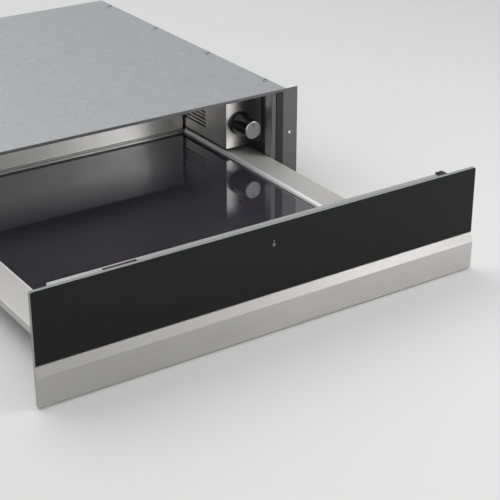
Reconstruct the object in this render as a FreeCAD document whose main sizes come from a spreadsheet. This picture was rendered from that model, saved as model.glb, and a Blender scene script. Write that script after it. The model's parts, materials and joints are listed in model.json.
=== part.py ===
import FreeCAD, Part
import os

import Sketcher

# Built-in warming drawer, in millimetres.
# X runs to the right, Y into the cabinet and Z up. The origin lies on the underside of the
# housing, in the middle of its width, in the plane of the cabinet's front edge.
# The drawer's pieces are drawn as if it were shut and placed by the distance it is pulled out.

SIZES = {
    # Drawer pan, hot plate and rear wall
    "pan_width": 420.0,
    "tray_sheet": 1.2,
    "tray_bend": 1.8,
    "tray_depth": 529.0,
    "ledge_width": 42.4,
    "lip_drop": 9.0,
    "pan_clearance": 6.8,
    "insulation_thickness": 15.4,
    "mat_thickness": 1.4,
    "mat_margin": 12.0,
    "mat_track_width": 8.0,
    "mat_track_pitch": 38.0,
    "mat_track_height": 0.4,
    "plate_thickness": 4.0,
    "plate_recess": 5.0,
    "plate_margin": 2.3,
    "plate_corner": 4.0,
    "plate_bevel": 0.6,
    "seal_play": 0.1,
    "seal_drop": 0.5,
    "wall_height": 87.0,
    "wall_sheet": 1.2,
    "wall_side_gap": 1.5,
    "wall_step": 3.0,
    "wall_rim": 8.0,
    "wall_foot": 10.0,
    # Drawer front
    "closed_gap": 3.0,
    "inner_sheet": 1.0,
    "carrier_depth": 9.0,
    "carrier_sheet": 1.2,
    "carrier_inset": 2.0,
    "carrier_left_inset": 25.5,
    "carrier_right_inset": 41.5,
    "glass_thickness": 4.0,
    "glass_corner": 3.0,
    "glass_bevel": 0.5,
    "strip_gap": 0.3,
    "strip_height": 48.5,
    "strip_crease": 36.0,
    "strip_proud": 3.0,
    "strip_sheet": 1.2,
    "strip_bend": 1.5,
    "front_floor_gap": 2.0,
    "front_top_overlap": 3.3,
    "front_overhang": 0.5,
    "lip_slot_length": 41.0,
    "lip_slot_width": 5.0,
    "lip_slot_inset": 62.0,
    "bumper_width": 10.0,
    "bumper_rise": 1.5,
    "bumper_drop": 8.0,
    "bumper_play": 0.5,
    "sensor_drop": 27.0,
    "sensor_window": 12.0,
    "board_width": 64.0,
    "board_height": 30.0,
    "board_thickness": 1.6,
    "board_chip": 3.0,
    "tie_width": 22.0,
    "tie_length": 28.0,
    "tie_drop": 20.0,
    "tie_offset": 16.0,
    # Housing and its front frame
    "housing_sheet": 1.2,
    "housing_fold": 14.0,
    "side_space": 23.6,
    "rear_gap": 18.8,
    "headroom": 12.7,
    "frame_clearance": 1.0,
    "frame_lip": 15.0,
    "frame_joggle": 0.4,
    "frame_bend": 1.0,
    "frame_top": 4.0,
    "flange_reach": 18.8,
    "flange_hole": 4.5,
    "flange_hole_offset": 6.3,
    "flange_hole_height": 67.0,
    "frame_seal_offset": 6.6,
    "frame_seal_width": 12.7,
    "frame_seal_height": 1.2,
    "frame_seal_slope": 0.8,
    "base_bead_width": 10.0,
    "base_bead_height": 1.0,
    "base_bead_inset": 60.0,
    "base_bead_pitch": 90.0,
    "base_bead_count": 5,
    "vent_length": 4.0,
    "vent_height": 40.0,
    "vent_pitch": 12.0,
    "vent_count": 12,
    "vent_offset": 190.0,
    "vent_rise": 70.0,
    # Runners
    "runner_sheet": 1.2,
    "runner_height": 16.0,
    "runner_flange": 5.0,
    "runner_play": 0.4,
    "runner_web_gap": 0.8,
    "runner_length": 450.0,
    "runner_start": 20.0,
    "runner_ledge_gap": 4.6,
    "runner_foot": 20.0,
    "open_distance": 356.0,
    # Push latch
    "latch_width": 36.0,
    "latch_height": 22.0,
    "latch_depth": 11.0,
    "latch_rise": 26.0,
    "latch_wall": 0.8,
    "plunger_diameter": 8.0,
    "plunger_play": 0.06,
    "plunger_seat": 4.0,
    "plunger_gap": 0.3,
    "striker_width": 30.0,
    "striker_height": 18.0,
    "striker_sheet": 1.2,
    # Fan box
    "box_sheet": 1.2,
    "box_setback": 52.0,
    "box_length": 248.0,
    "box_width": 60.0,
    "box_pan_gap": 1.0,
    "box_ledge_gap": 4.5,
    "box_return": 18.0,
    "louvre_start": 56.0,
    "louvre_length": 62.0,
    "louvre_height": 3.0,
    "louvre_pitch": 5.6,
    "louvre_count": 10,
    "louvre_rise": 15.0,
    "louvre_depth": 3.5,
    # Knob, switch and lamp
    "knob_offset": 21.0,
    "knob_rise": 36.5,
    "knob_skirt": 34.0,
    "knob_skirt_height": 4.0,
    "knob_base": 30.0,
    "knob_end": 26.0,
    "knob_length": 38.0,
    "knob_gap": 0.6,
    "knob_cap": 1.6,
    "knob_cap_edge": 0.6,
    "knob_edge": 1.2,
    "knob_bore_depth": 20.0,
    "shaft_diameter": 6.0,
    "shaft_play": 0.06,
    "shaft_seat": 14.0,
    "switch_size": 34.0,
    "switch_depth": 27.0,
    "switch_neck": 10.0,
    "switch_neck_play": 0.15,
    "lamp_offset": 24.0,
    "lamp_rise": 33.0,
    "lamp_diameter": 6.0,
    "lamp_head": 0.8,
    "lamp_body": 10.0,
    "lamp_depth": 14.0,
    # Fan, heater and wiring parts
    "fan_offset": 35.0,
    "fan_rise": 38.5,
    "fan_diameter": 40.0,
    "fan_blade_depth": 5.0,
    "fan_blade_sheet": 0.9,
    "fan_blade_count": 20,
    "fan_disc": 1.5,
    "fan_shaft": 5.0,
    "fan_shaft_play": 0.05,
    "fan_shaft_tail": 13.0,
    "scroll_gap": 2.5,
    "scroll_sheet": 1.2,
    "scroll_end_gap": 3.0,
    "scroll_margin": 5.0,
    "motor_diameter": 36.0,
    "motor_length": 28.0,
    "motor_boss": 14.0,
    "motor_boss_length": 4.0,
    "heater_offset": 4.5,
    "heater_width": 6.0,
    "heater_post": 3.0,
    "heater_bar": 3.0,
    "heater_count": 5,
    "cutout_diameter": 14.0,
    "cutout_height": 6.0,
    "cutout_ear_length": 24.0,
    "cutout_ear_sheet": 1.0,
    "cutout_setback": 34.0,
    "cutout_rise": 72.0,
    "terminal_length": 40.0,
    "terminal_height": 24.0,
    "terminal_depth": 20.0,
    "terminal_rear": 40.0,
    "terminal_rise": 80.0,
    "terminal_pole_count": 3,
    "gland_inset": 32.0,
    "gland_rise": 92.0,
    "gland_bore": 9.0,
    "gland_body": 15.0,
    "gland_flange": 24.0,
    "gland_flange_height": 3.0,
    "gland_length": 14.0,
    "gland_hole_play": 0.2,
}


class Size:
    """A length with both its number and the spreadsheet formula that gives it."""

    def __init__(self, value, formula):
        self.value = value
        self.formula = formula

    def joined(self, other, sign, value):
        return Size(value, "(%s %s %s)" % (self.formula, sign, other.formula))

    def __add__(self, other):
        other = as_size(other)
        return self.joined(other, "+", self.value + other.value)

    def __radd__(self, other):
        return as_size(other) + self

    def __sub__(self, other):
        other = as_size(other)
        return self.joined(other, "-", self.value - other.value)

    def __rsub__(self, other):
        return as_size(other) - self

    def __mul__(self, other):
        other = as_size(other)
        return self.joined(other, "*", self.value * other.value)

    def __rmul__(self, other):
        return as_size(other) * self

    def __truediv__(self, other):
        other = as_size(other)
        return self.joined(other, "/", self.value / other.value)

    def __neg__(self):
        return as_size(-1) * self


def as_size(number):
    if isinstance(number, Size):
        return number
    return Size(float(number), "%.10g" % number)


class Sizes:
    """The spreadsheet's cells by name."""


def fill_sheet(doc):
    sheet = doc.addObject("Spreadsheet::Sheet", "sizes")
    named = Sizes()
    for row, (alias, number) in enumerate(SIZES.items(), start=1):
        sheet.set("A%d" % row, alias)
        sheet.set("B%d" % row, str(number))
        sheet.setAlias("B%d" % row, alias)
        setattr(named, alias, Size(float(number), "sizes.%s" % alias))
    doc.recompute()
    return named


doc = FreeCAD.newDocument("warming_drawer")
s = fill_sheet(doc)
bodies = []

LEFT = -1
RIGHT = 1
SIDE_NAMES = {LEFT: "left", RIGHT: "right"}
TURNED = {
    "X": FreeCAD.Rotation(FreeCAD.Vector(0, 1, 0), 90),
    "Y": FreeCAD.Rotation(FreeCAD.Vector(1, 0, 0), -90),
    "Z": FreeCAD.Rotation(),
}


# Modelling helpers

def new_body(label):
    body = doc.addObject("PartDesign::Body", label)
    body.Label = label
    bodies.append(body)
    return body


def origin_feature(body, role):
    for feature in body.Origin.OriginFeatures:
        if feature.Role == role:
            return feature
    raise ValueError("no origin feature " + role)


def bind(thing, name, size):
    thing.setExpression(name, as_size(size).formula)


def move(thing, x, y, z):
    for axis, size in zip("xyz", (x, y, z)):
        bind(thing, "Placement.Base." + axis, size)


def slab(body, x, y, z, cut=False):
    """A box between the low and high ends given for each axis."""
    kind = "PartDesign::SubtractiveBox" if cut else "PartDesign::AdditiveBox"
    box = body.newObject(kind, "Slab")
    for name, (low, high) in zip(("Length", "Width", "Height"), (x, y, z)):
        bind(box, name, as_size(high) - low)
    move(box, x[0], y[0], z[0])
    return box


def rod(body, axis, base, radius, length, cut=False):
    """A cylinder that starts at base and runs along a positive axis."""
    kind = "PartDesign::SubtractiveCylinder" if cut else "PartDesign::AdditiveCylinder"
    cylinder = body.newObject(kind, "Rod")
    bind(cylinder, "Radius", radius)
    bind(cylinder, "Height", length)
    cylinder.Placement = FreeCAD.Placement(FreeCAD.Vector(), TURNED[axis])
    move(cylinder, *base)
    return cylinder


def outline(body, plane, start, points):
    """A closed sketch of straight lines whose corners are all set from the sheet."""
    sketch = body.newObject("Sketcher::SketchObject", "Outline")
    sketch.AttachmentSupport = [(origin_feature(body, plane + "_Plane"), "")]
    sketch.MapMode = "FlatFace"
    towards = -1 if plane == "XZ" else 1
    bind(sketch, "AttachmentOffset.Base.z", towards * as_size(start))
    corners = [(as_size(u), as_size(v)) for u, v in points]
    count = len(corners)
    ends = [FreeCAD.Vector(u.value, v.value, 0) for u, v in corners]
    for i in range(count):
        sketch.addGeometry(Part.LineSegment(ends[i], ends[(i + 1) % count]), False)
    for i in range(count):
        sketch.addConstraint(Sketcher.Constraint("Coincident", i, 2, (i + 1) % count, 1))
    for i, corner in enumerate(corners):
        for kind, size in zip(("DistanceX", "DistanceY"), corner):
            index = sketch.addConstraint(Sketcher.Constraint(kind, -1, 1, i, 1, size.value))
            bind(sketch, "Constraints[%d]" % index, size)
    return sketch


def prism(body, plane, span, points):
    """The outline carried along its plane's axis, from the low to the high end of span."""
    pad = body.newObject("PartDesign::Pad", "Prism")
    pad.Profile = outline(body, plane, span[0], points)
    bind(pad, "Length", as_size(span[1]) - span[0])
    pad.Reversed = plane == "XZ"
    return pad


def turned(body, points):
    """The outline turned about the body's own Y axis."""
    revolution = body.newObject("PartDesign::Revolution", "Turned")
    revolution.Profile = outline(body, "XY", 0, points)
    revolution.ReferenceAxis = (origin_feature(body, "Y_Axis"), [""])
    revolution.Angle = 360
    return revolution


def row_of(body, features, role, pitch, count):
    """Repeats features along an origin axis, at a steady pitch."""
    pattern = body.newObject("PartDesign::LinearPattern", "Row")
    pattern.Originals = features
    pattern.Direction = (origin_feature(body, role), [""])
    bind(pattern, "Length", pitch * (count - 1))
    bind(pattern, "Occurrences", count)
    body.Tip = pattern
    return pattern


def ring_of(body, features, count):
    """Repeats features round the body's own Y axis."""
    pattern = body.newObject("PartDesign::PolarPattern", "Ring")
    pattern.Originals = features
    pattern.Axis = (origin_feature(body, "Y_Axis"), [""])
    pattern.Angle = 360
    bind(pattern, "Occurrences", count)
    body.Tip = pattern
    return pattern


def edges_along(shape, axis, places):
    """Names of the straight edges along an axis that pass through the given places."""
    across = [i for i in range(3) if i != "XYZ".index(axis)]
    names = []
    for number, edge in enumerate(shape.Edges, start=1):
        first, last = edge.Vertexes[0].Point, edge.Vertexes[-1].Point
        for place in places:
            near = [abs(end[i] - as_size(p).value) for end in (first, last) for i, p in zip(across, place)]
            if max(near) < 1e-4:
                names.append("Edge%d" % number)
    return names


def soften(body, kind, axis, places, size):
    """A fillet or chamfer on the edges along an axis that pass through the given places."""
    doc.recompute()
    base = body.Tip
    dressed = body.newObject("PartDesign::" + kind, kind)
    dressed.Base = (base, edges_along(base.Shape, axis, places))
    bind(dressed, "Radius" if kind == "Fillet" else "Size", size)
    return dressed


def bevel_face(body, axis, place, size):
    """A chamfer on all edges of the flat face that lies at a place along an axis."""
    doc.recompute()
    base = body.Tip
    index = "XYZ".index(axis)
    names = []
    for number, edge in enumerate(base.Shape.Edges, start=1):
        if all(abs(end.Point[index] - place.value) < 1e-4 for end in edge.Vertexes):
            names.append("Edge%d" % number)
    bevel = body.newObject("PartDesign::Chamfer", "Bevel")
    bevel.Base = (base, names)
    bind(bevel, "Size", size)
    return bevel


def span_on(side, near, far):
    """Low and high X of a stretch given by its distances from the middle."""
    if side == RIGHT:
        return (near, far)
    return (-far, -near)


def on_drawer(body):
    bind(body, "Placement.Base.y", -s.open_distance)


# Places that several pieces share

pan_half = s.pan_width / 2
ledge_edge = pan_half + s.ledge_width
frame_edge = ledge_edge + s.frame_clearance
side_inner = frame_edge + s.side_space
side_outer = side_inner + s.housing_sheet
flange_edge = side_outer + s.flange_reach
front_half = flange_edge + s.front_overhang

pan_bottom = s.housing_sheet + s.pan_clearance
pan_floor = pan_bottom + s.tray_sheet
insulation_top = pan_floor + s.insulation_thickness
plate_bottom = insulation_top + s.mat_thickness
plate_top = plate_bottom + s.plate_thickness
ledge_top = plate_top + s.plate_recess
wall_top = plate_top + s.wall_height
opening_top = wall_top + s.headroom
housing_top = opening_top + s.frame_top
cover_bottom = housing_top - s.housing_sheet
front_bottom = s.front_floor_gap
front_top = housing_top + s.front_top_overlap
strip_top = front_bottom + s.strip_height
crease = front_bottom + s.strip_crease

panel_back = -s.closed_gap
panel_front = panel_back - s.inner_sheet
carrier_front = panel_front - s.carrier_depth
glass_front = carrier_front - s.glass_thickness
strip_front = glass_front - s.strip_proud
carrier_bottom = front_bottom + s.carrier_inset
carrier_top = front_top - s.carrier_inset
carrier_left = s.carrier_left_inset - front_half
carrier_right = front_half - s.carrier_right_inset
tray_end = panel_back + s.tray_depth
back_inner = tray_end + s.rear_gap
housing_end = back_inner + s.housing_sheet

box_bottom = ledge_top + s.box_ledge_gap
box_floor = box_bottom + s.box_sheet
box_left = pan_half + s.box_pan_gap
box_inner = box_left + s.box_sheet
box_right = box_left + s.box_width
box_front = s.box_setback
box_back = box_front + s.box_sheet
box_end = box_front + s.box_length
knob_x = box_left + s.knob_offset
knob_z = box_bottom + s.knob_rise
lamp_x = box_left + s.lamp_offset
lamp_z = knob_z + s.lamp_rise
louvre_y = box_front + s.louvre_start
louvre_end = louvre_y + s.louvre_length
louvre_z = box_bottom + s.louvre_rise
fan_x = box_left + s.fan_offset
fan_z = box_bottom + s.fan_rise
gland_x = side_inner - s.gland_inset


# Housing

def housing_base():
    body = new_body("housing_base")
    slab(body, (-side_outer, side_outer), (-s.housing_sheet, housing_end), (0, s.housing_sheet))
    bead_half = frame_edge - s.base_bead_inset
    first = s.base_bead_inset
    bead = slab(
        body,
        (-bead_half, bead_half),
        (first, first + s.base_bead_width),
        (s.housing_sheet, s.housing_sheet + s.base_bead_height),
    )
    row_of(body, [bead], "Y_Axis", s.base_bead_pitch, s.base_bead_count)


def housing_side(side):
    body = new_body("housing_side_" + SIDE_NAMES[side])
    fold = side_outer - s.housing_fold
    low = s.housing_sheet
    points = [
        (side_outer, low),
        (side_outer, cover_bottom),
        (fold, cover_bottom),
        (fold, cover_bottom - s.housing_sheet),
        (side_inner, cover_bottom - s.housing_sheet),
        (side_inner, low + s.housing_sheet),
        (fold, low + s.housing_sheet),
        (fold, low),
    ]
    prism(body, "XZ", (s.frame_joggle, back_inner), [(side * x, z) for x, z in points])


def housing_cover():
    body = new_body("housing_top")
    slab(body, (-side_outer, side_outer), (0, housing_end), (cover_bottom, housing_top))


def housing_back():
    body = new_body("housing_back")
    slab(body, (-side_outer, side_outer), (back_inner, housing_end), (s.housing_sheet, cover_bottom))
    through = (back_inner - s.housing_sheet, housing_end + s.housing_sheet)
    vent = slab(
        body,
        (-s.vent_offset, s.vent_length - s.vent_offset),
        through,
        (s.vent_rise, s.vent_rise + s.vent_height),
        cut=True,
    )
    row_of(body, [vent], "X_Axis", s.vent_pitch, s.vent_count)
    hole = s.gland_body / 2 + s.gland_hole_play
    rod(body, "Y", (gland_x, through[0], s.gland_rise), hole, through[1] - through[0], cut=True)


def front_frame_side(side):
    # The flange that lies on the cabinet steps forward of the part that the side sheet meets
    body = new_body("front_frame_" + SIDE_NAMES[side])
    lip_inner = frame_edge + s.housing_sheet
    face = -s.housing_sheet
    points = [
        (frame_edge, face),
        (flange_edge, face),
        (flange_edge, 0),
        (side_outer, 0),
        (side_outer, s.frame_joggle),
        (lip_inner, s.frame_joggle),
        (lip_inner, s.frame_lip),
        (frame_edge, s.frame_lip),
    ]
    prism(body, "XY", (s.housing_sheet, opening_top), [(side * x, y) for x, y in points])
    soften(body, "Fillet", "Z", [(side * frame_edge, face)], s.frame_bend)
    hole_x = side * (side_outer + s.flange_hole_offset)
    rod(
        body,
        "Y",
        (hole_x, -2 * s.housing_sheet, s.flange_hole_height),
        s.flange_hole / 2,
        3 * s.housing_sheet,
        cut=True,
    )


def front_frame_top():
    body = new_body("front_frame_top")
    slab(body, (-flange_edge, flange_edge), (-s.housing_sheet, 0), (opening_top, housing_top))
    slab(body, (-frame_edge, frame_edge), (0, s.frame_lip), (opening_top, opening_top + s.housing_sheet))


def frame_seal(side):
    body = new_body("frame_seal_" + SIDE_NAMES[side])
    near = frame_edge + s.frame_seal_offset
    far = near + s.frame_seal_width
    face = -s.housing_sheet
    crown = face - s.frame_seal_height
    points = [
        (near, face),
        (near + s.frame_seal_slope, crown),
        (far - s.frame_seal_slope, crown),
        (far, face),
    ]
    prism(body, "XY", (s.housing_sheet, opening_top), [(side * x, y) for x, y in points])


# Runners, from the tray outwards

inner_web = pan_half + s.tray_sheet
inner_tip = inner_web + s.runner_sheet + s.runner_flange
middle_web = inner_tip + s.runner_web_gap
outer_web = middle_web + s.runner_sheet + s.runner_web_gap
bracket_web = outer_web + s.runner_sheet
member_step = s.runner_play + s.runner_sheet
outer_half = s.runner_height / 2 + 2 * member_step
runner_middle_z = ledge_top - s.tray_sheet - s.runner_ledge_gap - outer_half


def channel(side, web, tip, half):
    """Outline of a runner member: a web with a flange at each end, seen along the runner."""
    wall = s.runner_sheet
    back = web + wall
    flat = web
    if tip.value < web.value:
        back = web
        flat = web + wall
    low = runner_middle_z - half
    high = runner_middle_z + half
    points = [
        (flat, low),
        (tip, low),
        (tip, low + wall),
        (back, low + wall),
        (back, high - wall),
        (tip, high - wall),
        (tip, high),
        (flat, high),
    ]
    return [(side * x, z) for x, z in points]


def runner(side, member, web, tip, half, pulled):
    body = new_body("runner_%s_%s" % (member, SIDE_NAMES[side]))
    along = (s.runner_start, s.runner_start + s.runner_length)
    prism(body, "XZ", along, channel(side, web, tip, half))
    if pulled:
        bind(body, "Placement.Base.y", -pulled * s.open_distance)


def runner_set(side):
    half = s.runner_height / 2
    inner_root = inner_web + s.runner_sheet
    runner(side, "inner", inner_web, inner_tip, half, 1)
    runner(side, "middle", middle_web, inner_root + s.runner_play, half + member_step, 0.5)
    runner(side, "outer", outer_web, inner_root + 2 * s.runner_play, half + 2 * member_step, 0)


def runner_bracket(side):
    body = new_body("runner_bracket_" + SIDE_NAMES[side])
    foot = bracket_web + s.runner_sheet + s.runner_foot
    low = s.housing_sheet
    top = runner_middle_z + outer_half
    points = [
        (bracket_web, low),
        (foot, low),
        (foot, low + s.runner_sheet),
        (bracket_web + s.runner_sheet, low + s.runner_sheet),
        (bracket_web + s.runner_sheet, top),
        (bracket_web, top),
    ]
    along = (s.runner_start, s.runner_start + s.runner_length)
    prism(body, "XZ", along, [(side * x, z) for x, z in points])


# Push latch

latch_front = back_inner - s.latch_depth
latch_z = plate_top + s.latch_rise
plunger_tip = tray_end + s.striker_sheet + s.plunger_gap


def push_latch_body():
    body = new_body("push_latch_body")
    half = s.latch_width / 2
    high = s.latch_height / 2
    slab(body, (-half, half), (latch_front, back_inner), (latch_z - high, latch_z + high))
    bore = s.plunger_diameter / 2 + s.plunger_play
    rod(body, "Y", (0, latch_front - 1, latch_z), bore, s.latch_depth + 1 - s.latch_wall, cut=True)
    corners = [(x, z) for x in (-half, half) for z in (latch_z - high, latch_z + high)]
    soften(body, "Fillet", "Y", corners, s.latch_height / 8)


def latch_plunger():
    body = new_body("latch_plunger")
    length = latch_front + s.plunger_seat - plunger_tip
    rod(body, "Y", (0, plunger_tip, latch_z), s.plunger_diameter / 2, length)


def latch_striker():
    body = new_body("latch_striker")
    half = s.striker_width / 2
    high = s.striker_height / 2
    slab(body, (-half, half), (tray_end, tray_end + s.striker_sheet), (latch_z - high, latch_z + high))
    on_drawer(body)


# Fan box

def fan_box_front():
    body = new_body("fan_box_front")
    slab(body, (box_left, box_right), (box_front, box_back), (box_bottom, cover_bottom - s.housing_sheet))
    slab(
        body,
        (box_right - s.box_sheet, box_right),
        (box_back, box_back + s.box_return),
        (box_floor, cover_bottom - s.housing_sheet),
    )
    depth = 3 * s.box_sheet
    neck = s.switch_neck / 2 + s.switch_neck_play
    rod(body, "Y", (knob_x, box_front - s.box_sheet, knob_z), neck, depth, cut=True)
    lamp = s.lamp_diameter / 2 + s.switch_neck_play
    rod(body, "Y", (lamp_x, box_front - s.box_sheet, lamp_z), lamp, depth, cut=True)


def fan_box_side():
    body = new_body("fan_box_side")
    wall = s.box_sheet
    points = [
        (box_left, box_bottom),
        (box_inner, box_bottom),
        (box_inner, cover_bottom - wall),
        (box_left + s.housing_fold, cover_bottom - wall),
        (box_left + s.housing_fold, cover_bottom),
        (box_left, cover_bottom),
    ]
    prism(body, "XZ", (box_back, box_end), points)
    slot = slab(
        body,
        (box_left - wall, box_inner + wall),
        (louvre_y, louvre_end),
        (louvre_z, louvre_z + s.louvre_height),
        cut=True,
    )
    # Each louvre is a tongue that leans into the box from the top edge of its slot
    root = louvre_z + s.louvre_height
    tongue = [
        (box_inner - wall / 2, root - wall / 4),
        (box_inner + s.louvre_depth, louvre_z),
        (box_inner + s.louvre_depth, louvre_z + wall),
        (box_inner - wall / 2, root + wall),
    ]
    blade = prism(body, "XZ", (louvre_y, louvre_end), tongue)
    row_of(body, [slot, blade], "Z_Axis", s.louvre_pitch, s.louvre_count)


def fan_box_floor():
    body = new_body("fan_box_floor")
    slab(body, (box_inner, side_inner), (box_back, box_end), (box_bottom, box_floor))


def fan_box_back():
    body = new_body("fan_box_back")
    rear = (box_end, box_end + s.box_sheet)
    slab(body, (box_left, side_inner), rear, (box_bottom, cover_bottom - s.housing_sheet))


def selector_switch():
    body = new_body("selector_switch")
    half = s.switch_size / 2
    end = box_back + s.switch_depth
    slab(body, (knob_x - half, knob_x + half), (box_back, end), (knob_z - half, knob_z + half))
    rod(body, "Y", (knob_x, box_front, knob_z), s.switch_neck / 2, s.box_sheet + 1)
    bore = s.shaft_diameter / 2 + s.shaft_play
    rod(body, "Y", (knob_x, box_front - 1, knob_z), bore, s.shaft_seat + 2, cut=True)
    corners = [(knob_x + i * half, knob_z + j * half) for i in (-1, 1) for j in (-1, 1)]
    soften(body, "Chamfer", "Y", corners, s.switch_size / 10)


def pilot_lamp():
    body = new_body("pilot_lamp")
    start = box_front - s.lamp_head
    rod(body, "Y", (lamp_x, start, lamp_z), s.lamp_diameter / 2, s.lamp_head + s.box_sheet + 1)
    rod(body, "Y", (lamp_x, box_back, lamp_z), s.lamp_body / 2, s.lamp_depth)


# Knob, drawn about its own axis

knob_start = box_front - s.knob_gap
knob_tip = knob_start - s.knob_length
cap_seat = knob_tip + s.knob_cap


def knob_body():
    body = new_body("knob_body")
    skirt_top = knob_start - s.knob_skirt_height
    bore = s.shaft_diameter / 2 + s.shaft_play
    points = [
        (bore, knob_start),
        (s.knob_skirt / 2, knob_start),
        (s.knob_skirt / 2, skirt_top + s.knob_edge),
        (s.knob_skirt / 2 - s.knob_edge, skirt_top),
        (s.knob_base / 2, skirt_top - s.knob_skirt_height / 2),
        (s.knob_end / 2, cap_seat),
        (0, cap_seat),
        (0, knob_start - s.knob_bore_depth),
        (bore, knob_start - s.knob_bore_depth),
    ]
    turned(body, points)
    move(body, knob_x, 0, knob_z)


def knob_cap():
    body = new_body("knob_cap")
    rim = s.knob_end / 2
    points = [
        (0, cap_seat),
        (rim, cap_seat),
        (rim, knob_tip + s.knob_cap_edge),
        (rim - s.knob_cap_edge, knob_tip),
        (0, knob_tip),
    ]
    turned(body, points)
    move(body, knob_x, 0, knob_z)


def selector_shaft():
    body = new_body("selector_shaft")
    start = knob_start - s.knob_bore_depth
    length = box_front + s.shaft_seat - start
    rod(body, "Y", (knob_x, start, knob_z), s.shaft_diameter / 2, length)


# Cross-flow fan, drawn about its own axis

scroll_start = louvre_y - s.scroll_end_gap - s.scroll_sheet
scroll_end = louvre_end + s.scroll_end_gap + s.scroll_sheet


def fan_wheel():
    body = new_body("fan_wheel")
    outer = s.fan_diameter / 2
    inner = outer - s.fan_blade_depth
    for start in (louvre_y, louvre_end - s.fan_disc):
        rod(body, "Y", (0, start, 0), outer, s.fan_disc)
    shaft_end = scroll_end + s.fan_shaft_tail
    rod(body, "Y", (0, scroll_start, 0), s.fan_shaft / 2, shaft_end - scroll_start)
    lean = s.fan_blade_depth / 2
    wall = s.fan_blade_sheet
    edge = outer - wall / 2
    points = [
        (inner, 0),
        ((inner + edge) / 2 + wall / 2, lean / 3),
        (edge, lean),
        (edge, lean + wall),
        ((inner + edge) / 2 - wall / 2, lean / 3 + wall),
        (inner, wall),
    ]
    blade = prism(body, "XZ", (louvre_y + s.fan_disc / 2, louvre_end - s.fan_disc / 2), points)
    ring_of(body, [blade], s.fan_blade_count)
    move(body, fan_x, 0, fan_z)


def fan_scroll():
    body = new_body("fan_scroll")
    bore = s.fan_shaft / 2 + s.fan_shaft_play
    reach = s.fan_diameter / 2 + s.scroll_gap
    outer = reach + s.scroll_sheet
    length = scroll_end - scroll_start
    shell = rod(body, "Y", (fan_x, scroll_start, fan_z), outer, length)
    shell.Angle = 180
    facing = FreeCAD.Rotation(FreeCAD.Vector(0, 1, 0), -90) * TURNED["Y"]
    shell.Placement = FreeCAD.Placement(FreeCAD.Vector(), facing)
    move(shell, fan_x, scroll_start, fan_z)
    rod(body, "Y", (fan_x, scroll_start - 1, fan_z), reach, length + 2, cut=True)
    for start in (scroll_start, scroll_end - s.scroll_sheet):
        slab(
            body,
            (fan_x - outer + s.scroll_margin, fan_x + outer),
            (start, start + s.scroll_sheet),
            (box_floor, fan_z + outer),
        )
        rod(body, "Y", (fan_x, start - 1, fan_z), bore, s.scroll_sheet + 2, cut=True)


def fan_motor():
    body = new_body("fan_motor")
    radius = s.motor_diameter / 2
    rod(body, "Y", (fan_x, scroll_end, fan_z), radius, s.motor_length)
    rod(body, "Y", (fan_x, scroll_end, fan_z), s.motor_boss / 2, s.motor_length + s.motor_boss_length)
    bore = s.fan_shaft / 2 + s.fan_shaft_play
    rod(body, "Y", (fan_x, scroll_end - 1, fan_z), bore, s.fan_shaft_tail + 2, cut=True)


def air_heater():
    body = new_body("air_heater")
    near = box_inner + s.louvre_depth + s.heater_offset - s.heater_width / 2
    far = near + s.heater_width
    top = fan_z + s.fan_diameter / 2
    for start in (louvre_y, louvre_end - s.heater_post):
        slab(body, (near, far), (start, start + s.heater_post), (box_floor, top))
    spread = s.fan_diameter - s.heater_bar
    pitch = spread / (s.heater_count - 1)
    first = fan_z - s.fan_diameter / 2
    bar = slab(body, (near, far), (louvre_y, louvre_end), (first, first + s.heater_bar))
    row_of(body, [bar], "Z_Axis", pitch, s.heater_count)


def thermal_cutout():
    body = new_body("thermal_cutout")
    y = box_front + s.cutout_setback
    z = box_bottom + s.cutout_rise
    ear = s.cutout_ear_length / 2
    high = s.cutout_diameter / 4
    slab(body, (box_inner, box_inner + s.cutout_ear_sheet), (y - ear, y + ear), (z - high, z + high))
    rod(body, "X", (box_inner, y, z), s.cutout_diameter / 2, s.cutout_height)


def terminal_block():
    body = new_body("terminal_block")
    end = back_inner - s.terminal_rear
    start = end - s.terminal_length
    low = s.terminal_rise
    high = low + s.terminal_height
    near = side_inner - s.terminal_depth
    slab(body, (near, side_inner), (start, end), (low, high))
    pitch = s.terminal_length / s.terminal_pole_count
    well = slab(
        body,
        (near - 1, near + s.terminal_depth / 4),
        (start + pitch / 4, start + pitch * 3 / 4),
        (low + s.terminal_height / 4, high + 1),
        cut=True,
    )
    row_of(body, [well], "Y_Axis", pitch, s.terminal_pole_count)


def cable_gland():
    body = new_body("cable_gland")
    start = back_inner - s.gland_flange_height
    length = s.gland_flange_height + s.gland_length
    base = (gland_x, start, s.gland_rise)
    rod(body, "Y", base, s.gland_flange / 2, s.gland_flange_height)
    rod(body, "Y", base, s.gland_body / 2, length)
    rod(body, "Y", (gland_x, start - 1, s.gland_rise), s.gland_bore / 2, length + 2, cut=True)


# Drawer tray and what lies in it. The rear wall steps back at the height of the ledges

wall_front = tray_end - s.wall_sheet - s.wall_step
seal_half = pan_half - s.seal_play
plate_half = pan_half - s.plate_margin
plate_front = panel_back + s.plate_margin
plate_end = wall_front - s.plate_margin


def drawer_tray():
    body = new_body("drawer_tray")
    wall = s.tray_sheet
    lip = ledge_top - s.lip_drop
    half = [
        (pan_half, pan_floor),
        (pan_half, ledge_top),
        (ledge_edge, ledge_top),
        (ledge_edge, lip),
        (ledge_edge - wall, lip),
        (ledge_edge - wall, ledge_top - wall),
        (pan_half + wall, ledge_top - wall),
        (pan_half + wall, pan_bottom),
    ]
    points = half + [(-x, z) for x, z in reversed(half)]
    prism(body, "XZ", (panel_back, tray_end), points)
    bends = [(side * x, ledge_top) for side in (LEFT, RIGHT) for x in (pan_half, ledge_edge)]
    soften(body, "Fillet", "Y", bends, s.tray_bend)
    on_drawer(body)


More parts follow.
